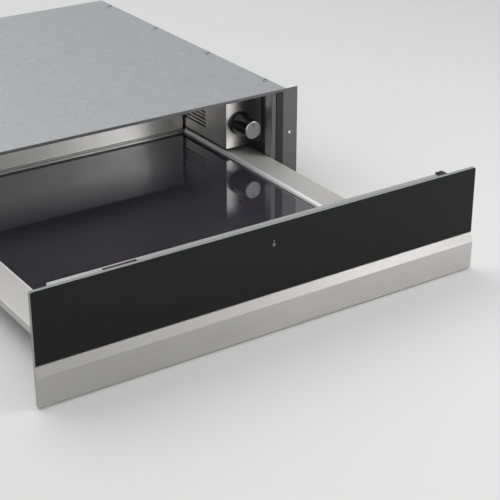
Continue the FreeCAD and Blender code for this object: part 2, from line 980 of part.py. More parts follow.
def drawer_back_wall():
    body = new_body("drawer_back_wall")
    half = pan_half - s.wall_side_gap
    sheet = s.wall_sheet
    upright = wall_front + s.wall_step
    points = [
        (wall_front - s.wall_foot, pan_floor),
        (wall_front - s.wall_foot, pan_floor + sheet),
        (wall_front, pan_floor + sheet),
        (wall_front, ledge_top),
        (upright, ledge_top),
        (upright, wall_top),
        (tray_end + s.wall_rim, wall_top),
        (tray_end + s.wall_rim, wall_top - sheet),
        (tray_end, wall_top - sheet),
        (tray_end, ledge_top - sheet),
        (wall_front + sheet, ledge_top - sheet),
        (wall_front + sheet, pan_floor),
    ]
    prism(body, "YZ", (-half, half), points)
    soften(body, "Fillet", "X", [(upright, wall_top), (wall_front, ledge_top)], sheet / 2)
    on_drawer(body)


def insulation_pad():
    body = new_body("insulation_pad")
    end = wall_front - s.wall_foot - s.seal_play
    slab(body, (-seal_half, seal_half), (panel_back, end), (pan_floor, insulation_top))
    on_drawer(body)


def heater_mat():
    body = new_body("heater_mat")
    half = plate_half - s.mat_margin
    base = plate_bottom - s.mat_track_height
    along = (plate_front + s.mat_margin, plate_end - s.mat_margin)
    slab(body, (-half, half), along, (insulation_top, base))
    # The heating track is a row of long tracks raised against the underside of the plate
    run = half - s.mat_margin
    first = plate_front + 2 * s.mat_margin
    room = plate_end - plate_front - 4 * s.mat_margin - s.mat_track_width
    count = int(room.value / s.mat_track_pitch.value) + 1
    track = slab(body, (-run, run), (first, first + s.mat_track_width), (base, plate_bottom))
    row_of(body, [track], "Y_Axis", s.mat_track_pitch, count)
    on_drawer(body)


def hot_plate():
    body = new_body("hot_plate")
    slab(body, (-plate_half, plate_half), (plate_front, plate_end), (plate_bottom, plate_top))
    corners = [(side * plate_half, y) for side in (LEFT, RIGHT) for y in (plate_front, plate_end)]
    soften(body, "Fillet", "Z", corners, s.plate_corner)
    bevel_face(body, "Z", plate_top, s.plate_bevel)
    on_drawer(body)


def plate_seal():
    body = new_body("plate_seal")
    inner = plate_half + s.seal_play
    top = plate_top - s.seal_drop
    ends = (panel_back + s.seal_play, wall_front - s.seal_play)
    gap = (plate_front - s.seal_play, plate_end + s.seal_play)
    slab(body, (-seal_half, seal_half), ends, (insulation_top, top))
    slab(body, (-inner, inner), gap, (insulation_top - 1, top + 1), cut=True)
    on_drawer(body)


# Drawer front

def front_glass():
    body = new_body("front_glass")
    slab(body, (-front_half, front_half), (glass_front, carrier_front), (strip_top, front_top))
    soften(body, "Fillet", "Y", [(-front_half, front_top), (front_half, front_top)], s.glass_corner)
    bevel_face(body, "Y", glass_front, s.glass_bevel)
    on_drawer(body)


def front_strip():
    body = new_body("front_strip")
    top = strip_top - s.strip_gap
    wall = s.strip_sheet
    outside = [
        (carrier_front, top),
        (glass_front, top),
        (strip_front, crease),
        (strip_front, front_bottom),
        (carrier_front, front_bottom),
    ]
    inside = [
        (carrier_front, front_bottom + wall),
        (strip_front + wall, front_bottom + wall),
        (strip_front + wall, crease),
        (glass_front + wall, top - wall),
        (carrier_front, top - wall),
    ]
    prism(body, "YZ", (-front_half, front_half), outside + inside)
    prism(body, "YZ", (-front_half, wall - front_half), outside)
    prism(body, "YZ", (front_half - wall, front_half), outside)
    soften(body, "Fillet", "X", [(strip_front, crease), (strip_front, front_bottom)], s.strip_bend)
    on_drawer(body)


def front_carrier():
    body = new_body("front_carrier")
    wall = s.carrier_sheet
    edge = front_half - s.carrier_inset
    plate_back = carrier_front + wall
    deep = (plate_back, panel_front)
    slab(body, (-edge, edge), (carrier_front, plate_back), (carrier_bottom, carrier_top))
    for low in (carrier_bottom, carrier_top - wall):
        slab(body, (carrier_left, carrier_right), deep, (low, low + wall))
    for low in (carrier_left, carrier_right - wall):
        slab(body, (low, low + wall), deep, (carrier_bottom, carrier_top))
    slot_start = carrier_left + s.lip_slot_inset
    slot_middle = (plate_back + panel_front) / 2
    slot_half = s.lip_slot_width / 2
    slab(
        body,
        (slot_start, slot_start + s.lip_slot_length),
        (slot_middle - slot_half, slot_middle + slot_half),
        (carrier_top - 2 * wall, carrier_top + wall),
        cut=True,
    )
    window = s.sensor_window / 2
    rod(body, "Y", (0, carrier_front - 1, front_top - s.sensor_drop), window, wall + 2, cut=True)
    on_drawer(body)


def front_inner_panel():
    body = new_body("front_inner_panel")
    slab(body, (carrier_left, carrier_right), (panel_front, panel_back), (carrier_bottom, carrier_top))
    on_drawer(body)


def lip_bumper():
    body = new_body("lip_bumper")
    far = carrier_right
    near = far - s.bumper_width
    top = carrier_top + s.bumper_rise
    rear = -s.housing_sheet - s.bumper_play
    points = [
        (carrier_front + s.carrier_sheet, carrier_top),
        (panel_back, carrier_top),
        (panel_back, carrier_top - s.bumper_drop),
        (rear, carrier_top - s.bumper_drop + s.bumper_rise),
        (rear, top),
        (carrier_front + s.carrier_sheet, top),
    ]
    prism(body, "YZ", (near, far), points)
    on_drawer(body)


def control_board():
    body = new_body("control_board")
    half = s.board_width / 2
    high = s.board_height / 2
    z = front_top - s.sensor_drop
    start = carrier_front + s.carrier_sheet
    slab(body, (-half, half), (start, start + s.board_thickness), (z - high, z + high))
    chip = (start + s.board_thickness, start + s.board_thickness + s.board_chip)
    slab(body, (-high / 2, high / 2), chip, (z - high / 2, z + high / 2))
    slab(body, (half * 0.6, half * 0.9), chip, (z - high * 0.7, z + high * 0.7))
    on_drawer(body)


def front_tie(side):
    body = new_body("front_tie_" + SIDE_NAMES[side])
    wall = s.tray_sheet
    near = pan_half + wall + s.tie_offset
    under = ledge_top - wall
    x = span_on(side, near, near + s.tie_width)
    slab(body, x, (panel_back, panel_back + wall), (under - s.tie_drop, under))
    slab(body, x, (panel_back + wall, panel_back + s.tie_length), (under - wall, under))
    on_drawer(body)


def build_all():
    housing_base()
    housing_cover()
    housing_back()
    front_frame_top()
    for side in (LEFT, RIGHT):
        housing_side(side)
        front_frame_side(side)
        frame_seal(side)
        runner_bracket(side)
        runner_set(side)
        front_tie(side)
    push_latch_body()
    latch_plunger()
    latch_striker()
    fan_box_front()
    fan_box_side()
    fan_box_floor()
    fan_box_back()
    selector_switch()
    pilot_lamp()
    knob_body()
    knob_cap()
    selector_shaft()
    fan_wheel()
    fan_scroll()
    fan_motor()
    air_heater()
    thermal_cutout()
    terminal_block()
    cable_gland()
    drawer_tray()
    drawer_back_wall()
    insulation_pad()
    heater_mat()
    hot_plate()
    plate_seal()
    front_glass()
    front_strip()
    front_carrier()
    front_inner_panel()
    lip_bumper()
    control_board()


def check_all():
    """Stops if any object failed to build or any piece is not one sound solid."""
    for thing in doc.Objects:
        if "Invalid" in thing.State or "Error" in thing.State:
            raise RuntimeError("failed: %s %s %s" % (thing.Name, thing.Label, thing.State))
    for body in bodies:
        shape = body.Shape
        if shape.isNull() or not shape.isValid():
            raise RuntimeError("bad shape: " + body.Label)
        if len(shape.Solids) != 1:
            raise RuntimeError("%s has %d solids" % (body.Label, len(shape.Solids)))


build_all()
doc.recompute()
check_all()
os.makedirs("parts", exist_ok=True)
for body in bodies:
    body.Shape.exportStep("parts/%s.step" % body.Label)
print("%d pieces written" % len(bodies))
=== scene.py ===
"""Gives a built-in warming drawer its finishes and small fasteners, and sets it on a plain stage."""

import json
import math

import bmesh
import bpy
from bpy.props import FloatProperty, FloatVectorProperty, IntProperty, PointerProperty
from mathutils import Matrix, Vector

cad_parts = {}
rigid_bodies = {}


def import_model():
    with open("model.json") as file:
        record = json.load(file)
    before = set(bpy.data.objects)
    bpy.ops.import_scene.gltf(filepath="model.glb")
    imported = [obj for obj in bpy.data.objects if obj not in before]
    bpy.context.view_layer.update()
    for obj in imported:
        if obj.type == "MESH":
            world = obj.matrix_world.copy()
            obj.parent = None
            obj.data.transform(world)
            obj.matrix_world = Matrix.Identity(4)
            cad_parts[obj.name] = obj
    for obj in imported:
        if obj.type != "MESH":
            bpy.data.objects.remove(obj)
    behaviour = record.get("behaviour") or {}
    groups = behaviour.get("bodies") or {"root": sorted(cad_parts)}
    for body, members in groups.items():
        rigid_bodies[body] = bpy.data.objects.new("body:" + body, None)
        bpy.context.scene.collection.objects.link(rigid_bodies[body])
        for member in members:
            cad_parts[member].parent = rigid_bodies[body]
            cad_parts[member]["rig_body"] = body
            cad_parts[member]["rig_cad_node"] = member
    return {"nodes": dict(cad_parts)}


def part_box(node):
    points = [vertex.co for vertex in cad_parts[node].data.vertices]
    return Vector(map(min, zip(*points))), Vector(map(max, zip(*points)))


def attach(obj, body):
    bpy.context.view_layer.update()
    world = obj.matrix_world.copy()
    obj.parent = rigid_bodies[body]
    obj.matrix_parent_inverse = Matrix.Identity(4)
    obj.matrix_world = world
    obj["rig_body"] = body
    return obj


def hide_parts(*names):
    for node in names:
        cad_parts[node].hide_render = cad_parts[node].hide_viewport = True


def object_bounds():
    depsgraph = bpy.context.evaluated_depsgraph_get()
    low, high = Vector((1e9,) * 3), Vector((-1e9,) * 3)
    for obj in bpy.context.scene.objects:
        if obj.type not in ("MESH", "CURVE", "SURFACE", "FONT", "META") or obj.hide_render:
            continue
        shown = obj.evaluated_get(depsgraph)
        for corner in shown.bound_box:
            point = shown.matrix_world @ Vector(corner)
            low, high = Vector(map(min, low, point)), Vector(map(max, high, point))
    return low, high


bl_info = {
    "name": "Warming drawer finishes",
    "version": (1, 0, 0),
    "blender": (4, 5, 0),
    "location": "3D View > Sidebar > Warming drawer",
    "description": "Finishes, fasteners and stage for a built-in warming drawer",
    "category": "Object",
}

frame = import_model()
cad_low, cad_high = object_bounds()
nodes = frame["nodes"]

LEFT, RIGHT = -1, 1
SIDES = {LEFT: "left", RIGHT: "right"}

# Turns that bring what is modelled upright to face along an axis
FACING = {
    "+X": (0, math.pi / 2, 0),
    "+Y": (-math.pi / 2, 0, 0),
    "-Y": (math.pi / 2, 0, 0),
    "+Z": (0, 0, 0),
}

# Thickness of a coat of printing ink, in metres
INK_FILM = 0.00004

# Distances within which points count as one: in a node's loose triangles, and in a finished mesh
WELD_DISTANCE = 0.000005
MERGE_DISTANCE = 0.000002

# Angles between faces: up to the first they count as one flat face, up to the second they are
# shaded as one, and over the third their edge is eased
FLAT_ANGLE = math.radians(1)
SMOOTH_ANGLE = math.radians(35)
SHARP_ANGLE = math.radians(40)


# Settings

def colour(label, words, default):
    return FloatVectorProperty(
        name=label, description=words, subtype="COLOR", size=3, min=0, max=1, default=default
    )


def length(label, words, default):
    return FloatProperty(
        name=label, description=words, unit="LENGTH", min=0, precision=5, default=default
    )


def share(label, words, default):
    return FloatProperty(
        name=label, description=words, subtype="FACTOR", min=0, max=1, default=default
    )


def angle(label, words, degrees):
    return FloatProperty(
        name=label, description=words, subtype="ANGLE", default=math.radians(degrees)
    )


def number(label, words, low, default):
    return FloatProperty(name=label, description=words, min=low, default=default)


def count(label, words, default):
    return IntProperty(name=label, description=words, min=2, default=default)


class FinishSettings(bpy.types.PropertyGroup):
    """Colours and polish of the drawer's materials."""

    stainless: colour("Stainless steel", "Brushed steel of the drawer", (0.62, 0.615, 0.61))
    # The front strip's steel is darker than the drawer's: painted shade for the dark surroundings the
    # strip mirrors
    strip_painted_shade_steel: colour("Front strip", "Brushed steel of the front strip", (0.46, 0.456, 0.452))
    # The lip is near white and mostly without metal, so it stands as a painted highlight along the
    # plate's edge
    lip_painted_highlight: colour("Lip", "Satin steel of the lip round the hot plate", (0.86, 0.855, 0.85))
    zinc: colour("Zinc coat", "Zinc-coated sheet of the housing", (0.46, 0.468, 0.476))
    frame_grey: colour("Frame grey", "Coated steel of the front frame", (0.13, 0.13, 0.133))
    motor_grey: colour("Motor", "Coat of the fan's motor", (0.08, 0.08, 0.085))
    glass_black: colour("Front glass", "Enamel behind the front glass", (0.0025, 0.0025, 0.003))
    plate_black: colour("Hot plate", "Body colour of the glass hot plate", (0.040, 0.038, 0.047))
    rubber_black: colour("Rubber", "Seals and bumper", (0.008, 0.008, 0.008))
    plastic_black: colour("Moulded plastic", "Knob, switch and gland", (0.010, 0.010, 0.011))
    phenolic_brown: colour("Cut-out", "Phenolic of the thermal cut-out", (0.05, 0.03, 0.02))
    terminal_white: colour("Terminals", "Nylon of the terminal block", (0.62, 0.6, 0.55))
    plunger_white: colour("Plunger", "Nylon of the latch's plunger", (0.5, 0.5, 0.48))
    ceramic_white: colour("Air heater", "Ceramic of the air heater", (0.55, 0.53, 0.48))
    laminate_green: colour("Board", "Laminate of the control board", (0.02, 0.09, 0.035))
    film_amber: colour("Heating mat", "Film of the heating mat", (0.28, 0.13, 0.03))
    fibre_tan: colour("Insulation", "Mineral fibre under the hot plate", (0.42, 0.37, 0.24))
    lens_dark: colour("Lens, dark", "Darkest red of the lamp's lens", (0.03, 0.008, 0.006))
    lens_light: colour("Lens, light", "Lightest red of the lamp's lens", (0.07, 0.016, 0.012))
    mark_grey: colour("Mark", "Printed mark on the front glass", (0.12, 0.12, 0.123))
    edge_grey: colour("Glass edge", "Ground edge of the front glass", (0.26, 0.27, 0.268))
    glass_index: number("Front glass index", "Refraction of the front glass", 1, 1.33)
    plate_index: number("Hot plate index", "Refraction of the hot plate", 1, 2.2)
    steel_roughness: share("Steel roughness", "How dull the brushed steel is", 0.38)
    ledge_roughness: share("Ledge roughness", "How dull the tray's ledges are", 0.42)
    lip_roughness: share("Lip roughness", "How dull the lip round the hot plate is", 0.34)
    polish_roughness: share("Polished roughness", "How dull the polished steel is", 0.35)


class DetailSettings(bpy.types.PropertyGroup):
    """Sizes of the edges, screws, lip and marks."""

    sheet_edge: length("Sheet edge", "Rounding of the edges of thin sheet", 0.00025)
    glass_edge: length("Glass edge", "Rounding of the front glass's edges", 0.0002)
    cap_edge: length("Cap edge", "Rounding of the knob cap's edge", 0.0008)
    board_edge: length("Board edge", "Rounding of the insulation board's edges", 0.003)
    screw_radius: length("Screw head radius", "Radius of a screw's head", 0.0036)
    screw_height: length("Screw head height", "Height of a screw's head", 0.0021)
    screw_inset: length("Screw inset", "Distance of a housing screw from the sheet's edge", 0.007)
    cover_inset: length("Cover inset", "Distance of a row's end from the cover's corner", 0.042)
    back_screw_count: count("Back screws", "Screws along the back sheet", 5)
    side_screw_count: count("Cover screws", "Screws along each long edge", 4)
    tie_screw_rise: length("Lower inner screws", "Their height above the ties", 0.018)
    top_screw_drop: length("Upper inner screws", "Their depth below the sheet's top", 0.016)
    lip_gap: length("Lip gap", "Seal left in view between the hot plate and its lip", 0.0004)
    lip_rise: length("Lip rise", "How far the lip stands above the plate and the ledges", 0.0003)
    pointer_width: length("Pointer width", "Width of the line on the knob's cap", 0.0013)
    mark_radius: length("Mark radius", "Radius of the dot on the front glass", 0.0021)
    mark_drop: length("Mark drop", "How far the dot lies below the top of the glass", 0.0256)


class StageSettings(bpy.types.PropertyGroup):
    """Camera, floor and even light."""

    camera_place: FloatVectorProperty(
        name="Camera place",
        description="Where the camera stands",
        subtype="XYZ",
        unit="LENGTH",
        size=3,
        default=(-0.799, -1.520, 0.778),
    )
    camera_yaw: angle("Camera yaw", "Turn to the right", 33.76)
    camera_pitch: angle("Camera pitch", "Tilt above the horizon", -25.72)
    camera_lens: FloatProperty(
        name="Lens", description="Focal length", unit="CAMERA", min=1, default=100.15
    )
    floor_tone: share("Floor tone", "How pale the floor is", 0.75)
    sky_light: number("Sky light", "Strength of the even light all round", 0, 0.52)


# Materials

def new_material(name):
    material = bpy.data.materials.new(name)
    material.use_nodes = True
    tree = material.node_tree
    return material, tree, tree.nodes["Principled BSDF"]


def add_node(tree, kind, inputs=None, **settings):
    node = tree.nodes.new(kind)
    for name, value in settings.items():
        setattr(node, name, value)
    for name, value in (inputs or {}).items():
        node.inputs[name].default_value = value
    return node


def object_place(tree, scale, centre=(0, 0, 0)):
    """Object coordinates, moved to a centre and scaled."""
    place = add_node(tree, "ShaderNodeTexCoord")
    mapping = add_node(tree, "ShaderNodeMapping", vector_type="TEXTURE")
    mapping.inputs["Location"].default_value = centre
    mapping.inputs["Scale"].default_value = [1 / part for part in scale]
    tree.links.new(place.outputs["Object"], mapping.inputs["Vector"])
    return mapping.outputs["Vector"]


def grains(tree, scale, detail=2.0):
    """Noise from 0 to 1, with its own number of grains to the metre along each axis."""
    noise = add_node(tree, "ShaderNodeTexNoise", {"Scale": 1.0, "Detail": detail, "Roughness": 0.6})
    tree.links.new(object_place(tree, scale), noise.inputs["Vector"])
    return noise.outputs["Fac"]


def between(tree, pattern, low, high):
    """A number that goes from low to high over the middle of a pattern's range."""
    limits = {"From Min": 0.3, "From Max": 0.7, "To Min": low, "To Max": high}
    spread = add_node(tree, "ShaderNodeMapRange", limits)
    tree.links.new(pattern, spread.inputs["Value"])
    return spread.outputs["Result"]


def paint(tree, shader, pattern, dark, light):
    """Lets a pattern take the colour from a dark tone to a light one."""
    mix = add_node(tree, "ShaderNodeMix", data_type="RGBA")
    mix.inputs["A"].default_value = (*dark, 1)
    mix.inputs["B"].default_value = (*light, 1)
    tree.links.new(pattern, mix.inputs["Factor"])
    tree.links.new(mix.outputs["Result"], shader.inputs["Base Color"])


def roughen(tree, shader, pattern, low, high):
    """Lets a pattern take the roughness from low to high."""
    tree.links.new(between(tree, pattern, low, high), shader.inputs["Roughness"])


def emboss(tree, shader, pattern, depth):
    """Raises the surface with a pattern."""
    bump = add_node(tree, "ShaderNodeBump", {"Distance": depth, "Strength": 1.0})
    tree.links.new(pattern, bump.inputs["Height"])
    tree.links.new(bump.outputs["Normal"], shader.inputs["Normal"])


def scaled(tone, factor):
    return [min(1.0, part * factor) for part in tone]


def brushed_metal(name, tone, grain, roughness):
    """Metal with fine brush lines along one axis, which spread light, and faint clouds of handling."""
    along, across = 9, 6000
    material, tree, shader = new_material(name)
    tangent = add_node(tree, "ShaderNodeTangent", direction_type="RADIAL", axis=grain)
    tree.links.new(tangent.outputs["Tangent"], shader.inputs["Tangent"])
    shader.inputs["Anisotropic"].default_value = 0.85
    shader.inputs["Metallic"].default_value = 1.0
    lines = grains(tree, [along if axis == grain else across for axis in "XYZ"], 3.0)
    clouds = grains(tree, (9, 9, 9))
    paint(tree, shader, between(tree, lines, 0, 1), scaled(tone, 0.86), scaled(tone, 1.08))
    dull = add_node(tree, "ShaderNodeMath", operation="ADD")
    tree.links.new(between(tree, lines, roughness - 0.06, roughness + 0.06), dull.inputs[0])
    tree.links.new(between(tree, clouds, -0.03, 0.04), dull.inputs[1])
    tree.links.new(dull.outputs["Value"], shader.inputs["Roughness"])
    emboss(tree, shader, lines, 0.00001)
    return material


def zinc_sheet(name, tone):
    """Zinc-coated sheet, with its crystals as patches of slightly different grey and polish."""
    material, tree, shader = new_material(name)
    crystals = add_node(tree, "ShaderNodeTexVoronoi", {"Scale": 1.0, "Randomness": 1.0})
    tree.links.new(object_place(tree, (160, 160, 160)), crystals.inputs["Vector"])
    split = add_node(tree, "ShaderNodeSeparateColor")
    tree.links.new(crystals.outputs["Color"], split.inputs["Color"])
    paint(tree, shader, split.outputs["Red"], scaled(tone, 0.96), scaled(tone, 1.04))
    roughen(tree, shader, split.outputs["Green"], 0.52, 0.58)
    shader.inputs["Metallic"].default_value = 0.75
    emboss(tree, shader, grains(tree, (420, 420, 420)), 0.000015)
    return material


def coated_metal(name, tone, roughness, metal=0.6):
    """Sheet with a thin coat, slightly grainy, through which a share of the metal shines."""
    material, tree, shader = new_material(name)
    speckle = grains(tree, (900, 900, 900), 3.0)
    paint(tree, shader, speckle, scaled(tone, 0.92), scaled(tone, 1.08))
    roughen(tree, shader, speckle, roughness - 0.05, roughness + 0.07)
    shader.inputs["Metallic"].default_value = metal
    emboss(tree, shader, speckle, 0.00004)
    return material


def dark_glass(name, tone, index, smear):
    """Smooth glass over a dark ground, with faint smears in its gloss."""
    clean = 0.015
    material, tree, shader = new_material(name)
    clouds = grains(tree, (14, 14, 14), 3.0)
    paint(tree, shader, clouds, scaled(tone, 0.85), scaled(tone, 1.15))
    roughen(tree, shader, clouds, clean, clean + smear)
    shader.inputs["IOR"].default_value = index
    return material


def moulded(name, tone, roughness, depth=0.00003):
    """Plastic or rubber with the fine texture of its mould."""
    material, tree, shader = new_material(name)
    texture = grains(tree, (1500, 1500, 1500))
    paint(tree, shader, texture, scaled(tone, 0.8), scaled(tone, 1.2))
    roughen(tree, shader, texture, roughness - 0.06, roughness + 0.08)
    emboss(tree, shader, texture, depth)
    return material


def turned_metal(name, tone, centre, roughness):
    """Metal with the fine rings of a lathe about an axis along Y."""
    material, tree, shader = new_material(name)
    shape = {"Scale": 1.0, "Distortion": 0.6, "Detail": 2.0}
    wave = add_node(tree, "ShaderNodeTexWave", shape, wave_type="RINGS", rings_direction="Y")
    tree.links.new(object_place(tree, (450, 450, 450), centre), wave.inputs["Vector"])
    rings = wave.outputs["Fac"]
    shader.inputs["Metallic"].default_value = 1.0
    paint(tree, shader, rings, scaled(tone, 0.9), scaled(tone, 1.08))
    roughen(tree, shader, rings, roughness - 0.05, roughness + 0.06)
    emboss(tree, shader, rings, 0.00001)
    return material


def printed_ink(name, tone):
    """A thin coat of ink with a faint speckle."""
    material, tree, shader = new_material(name)
    paint(tree, shader, grains(tree, (3000, 3000, 3000)), scaled(tone, 0.85), scaled(tone, 1.1))
    shader.inputs["Roughness"].default_value = 0.4
    return material


def fibre_board(name, tone):
    """Pressed mineral fibre."""
    material, tree, shader = new_material(name)
    strands = grains(tree, (700, 180, 500), 6.0)
    paint(tree, shader, strands, scaled(tone, 0.7), scaled(tone, 1.2))
    roughen(tree, shader, strands, 0.85, 1.0)
    emboss(tree, shader, strands, 0.0006)
    return material


def lamp_lens(name, dark, light):
    """Glossy plastic with a coloured mottle."""
    material, tree, shader = new_material(name)
    paint(tree, shader, grains(tree, (900, 900, 900)), dark, light)
    shader.inputs["Roughness"].default_value = 0.12
    return material


def dress(material, *names):
    """Gives CAD nodes their finish."""
    for name in names:
        slots = nodes[name].data.materials
        slots.clear()
        slots.append(material)


def refinish(piece, material, wanted):
    """Gives a second finish to the faces whose normal passes the test."""
    piece.data.materials.append(material)
    for face in piece.data.polygons:
        if wanted(face.normal):
            face.material_index = 1


# Modelling helpers

def select_only(piece):
    bpy.ops.object.select_all(action="DESELECT")
    piece.select_set(True)
    bpy.context.view_layer.objects.active = piece


def start_from(add_primitive, **settings):
    """A new primitive to shape, with nothing else selected."""
    bpy.ops.object.select_all(action="DESELECT")
    add_primitive(**settings)
    return bpy.context.active_object


def pick_edges(piece, wanted):
    """In edit mode, selects only the edges for which the test is true."""
    mesh = bmesh.from_edit_mesh(piece.data)
    bpy.ops.mesh.select_all(action="DESELECT")
    for edge in mesh.edges:
        edge.select_set(wanted(edge))
    mesh.select_flush_mode()
    bmesh.update_edit_mesh(piece.data)


def merge_points(piece):
    """Joins points that lie on each other, and with them removes faces that have no area."""
    select_only(piece)
    bpy.ops.object.mode_set(mode="EDIT")
    bpy.ops.mesh.select_all(action="SELECT")
    bpy.ops.mesh.remove_doubles(threshold=MERGE_DISTANCE)
    bpy.ops.mesh.dissolve_degenerate(threshold=MERGE_DISTANCE)
    bpy.ops.object.mode_set(mode="OBJECT")


def finish_piece(piece, name, material, body):
    """Applies the piece's place, names it and lets it ride on its body."""
    select_only(piece)
    bpy.ops.object.transform_apply(location=True, rotation=True, scale=True)
    bpy.ops.object.shade_smooth_by_angle(angle=SMOOTH_ANGLE)
    flat = piece.modifiers.new("Flat faces", "WEIGHTED_NORMAL")
    flat.keep_sharp = True
    bpy.ops.object.modifier_apply(modifier=flat.name)
    piece.name = name
    piece.data.name = name
    piece.data.materials.clear()
    piece.data.materials.append(material)
    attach(piece, body)


def eased(name, material, width):
    """A copy of a node with its sharp edges eased, which stands for the node."""
    node = nodes[name]
    body = node["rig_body"]
    select_only(node)
    bpy.ops.object.duplicate()
    piece = bpy.context.active_object
    piece.parent = None
    del piece["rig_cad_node"]
    bpy.ops.object.mode_set(mode="EDIT")
    bpy.ops.mesh.select_all(action="SELECT")
    bpy.ops.mesh.remove_doubles(threshold=WELD_DISTANCE)
    bpy.ops.mesh.customdata_custom_splitnormals_clear()
    bpy.ops.mesh.dissolve_limited(angle_limit=FLAT_ANGLE)
    bpy.ops.object.mode_set(mode="OBJECT")
    bevel = piece.modifiers.new("Eased", "BEVEL")
    bevel.width = width
    bevel.segments = 2
    bevel.limit_method = "ANGLE"
    bevel.angle_limit = SHARP_ANGLE
    bpy.ops.object.modifier_apply(modifier=bevel.name)
    merge_points(piece)
    finish_piece(piece, name + "_eased", material, body)
    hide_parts(name)
    return piece


def model_screw(radius, height):
    """A pan-head screw seen from outside: a domed head with a cross recess, upright on the origin."""
    dome = height * 0.55
    recess = (radius * 1.1, radius * 0.24, height * 0.9)
    screw = start_from(
        bpy.ops.mesh.primitive_cylinder_add,
        vertices=20,
        radius=radius,
        depth=height,
        location=(0, 0, height / 2),
    )
    bpy.ops.object.transform_apply(location=True, rotation=True, scale=True)
    bpy.ops.object.mode_set(mode="EDIT")
    pick_edges(screw, lambda edge: all(vertex.co.z > height / 2 for vertex in edge.verts))
    bpy.ops.mesh.bevel(offset=dome, segments=3, affect="EDGES")
    bpy.ops.object.mode_set(mode="OBJECT")
    for turn in (0, math.pi / 2):
        blade = start_from(
            bpy.ops.mesh.primitive_cube_add, size=1, location=(0, 0, height), rotation=(0, 0, turn)
        )
        blade.scale = recess
        cut = screw.modifiers.new("Recess", "BOOLEAN")
        cut.operation = "DIFFERENCE"
        cut.object = blade
        select_only(screw)
        bpy.ops.object.modifier_apply(modifier=cut.name)
        bpy.data.objects.remove(blade)
    return screw


def add_screws(details, places, name, material, body):
    """Screws at (place, facing) pairs, copied from one model and joined into one group."""
    model = model_screw(details.screw_radius, details.screw_height)
    made = []
    for place, facing in places:
        select_only(model)
        bpy.ops.object.duplicate()
        screw = bpy.context.active_object
        screw.location = place
        screw.rotation_euler = FACING[facing]
        made.append(screw)
    bpy.data.objects.remove(model)
    bpy.ops.object.select_all(action="DESELECT")
    for screw in made:
        screw.select_set(True)
    bpy.context.view_layer.objects.active = made[0]
    bpy.ops.object.transform_apply(location=True, rotation=True, scale=True)
    bpy.ops.object.join()
    finish_piece(bpy.context.active_object, name, material, body)


def spaced(low, high, steps):
    """Evenly spaced values from low to high."""
    return [low + (high - low) * step / (steps - 1) for step in range(steps)]


class PieceOperator:
    """What the operators of the pieces share."""

    bl_options = {"REGISTER", "UNDO"}

    def execute(self, context):
        self.make(context.scene.warmer_finish, context.scene.warmer_details)
        return {"FINISHED"}


# Pieces

class WARMER_OT_front_glass(PieceOperator, bpy.types.Operator):
    """Black front glass and its printed mark"""

    bl_idname = "warmer.front_glass"
    bl_label = "Front glass"

    def make(self, finish, details):
        black = dark_glass("front_glass", finish.glass_black, finish.glass_index, smear=0.03)
        ground = moulded("ground_glass_edge", finish.edge_grey, roughness=0.5)
        glass = eased("front_glass", black, details.glass_edge)
        refinish(glass, ground, lambda normal: abs(normal.y) < 0.9)
        self.add_mark(finish, details)

    def add_mark(self, finish, details):
        """A dot over the touch sensor, with a short stroke above it."""
        low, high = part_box("front_glass")
        radius = details.mark_radius
        front = low.y - INK_FILM / 2
        level = high.z - details.mark_drop
        stroke_level = level + 2.1 * radius
        stroke_width, stroke_height = radius * 0.7, radius * 1.2
        stroke = start_from(
            bpy.ops.mesh.primitive_cube_add, size=1, location=(0, front, stroke_level)
        )
        stroke.scale = (stroke_width, INK_FILM, stroke_height)
        dot = start_from(
            bpy.ops.mesh.primitive_cylinder_add,
            vertices=32,
            radius=radius,
            depth=INK_FILM,
            location=(0, front, level),
            rotation=FACING["-Y"],
        )
        stroke.select_set(True)
        bpy.ops.object.transform_apply(location=True, rotation=True, scale=True)
        bpy.ops.object.join()
        finish_piece(dot, "glass_mark", printed_ink("printed_mark", finish.mark_grey), "drawer")


class WARMER_OT_front_strip(PieceOperator, bpy.types.Operator):
    """Stainless strip along the foot of the front"""

    bl_idname = "warmer.front_strip"
    bl_label = "Front strip"

    def make(self, finish, details):
        # A darker copy of the stainless: painted shade on the strip
        steel = brushed_metal("strip_painted_shade_steel", finish.strip_painted_shade_steel, "X", finish.steel_roughness)
        eased("front_strip", steel, details.sheet_edge)


class WARMER_OT_front_carrier(PieceOperator, bpy.types.Operator):
    """Steel carrier behind the front, its inner sheet, ties, bumper and board"""

    bl_idname = "warmer.front_carrier"
    bl_label = "Front carrier"

    def make(self, finish, details):
        steel = brushed_metal("carrier_steel", finish.stainless, "X", finish.steel_roughness)
        for name in ("front_carrier", "front_inner_panel"):
            eased(name, steel, details.sheet_edge)
        dress(zinc_sheet("tie_zinc", finish.zinc), "front_tie_left", "front_tie_right")
        dress(moulded("bumper_rubber", finish.rubber_black, roughness=0.55), "lip_bumper")
        dress(moulded("board_laminate", finish.laminate_green, roughness=0.4), "control_board")
        sheet_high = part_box("front_inner_panel")[1]
        places = []
        for name in SIDES.values():
            tie_low, tie_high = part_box("front_tie_" + name)
            middle = (tie_low.x + tie_high.x) / 2
            for z in (tie_high.z + details.tie_screw_rise, sheet_high.z - details.top_screw_drop):
                places.append(((middle, sheet_high.y, z), "+Y"))
        add_screws(details, places, "inner_panel_screws", steel, "drawer")


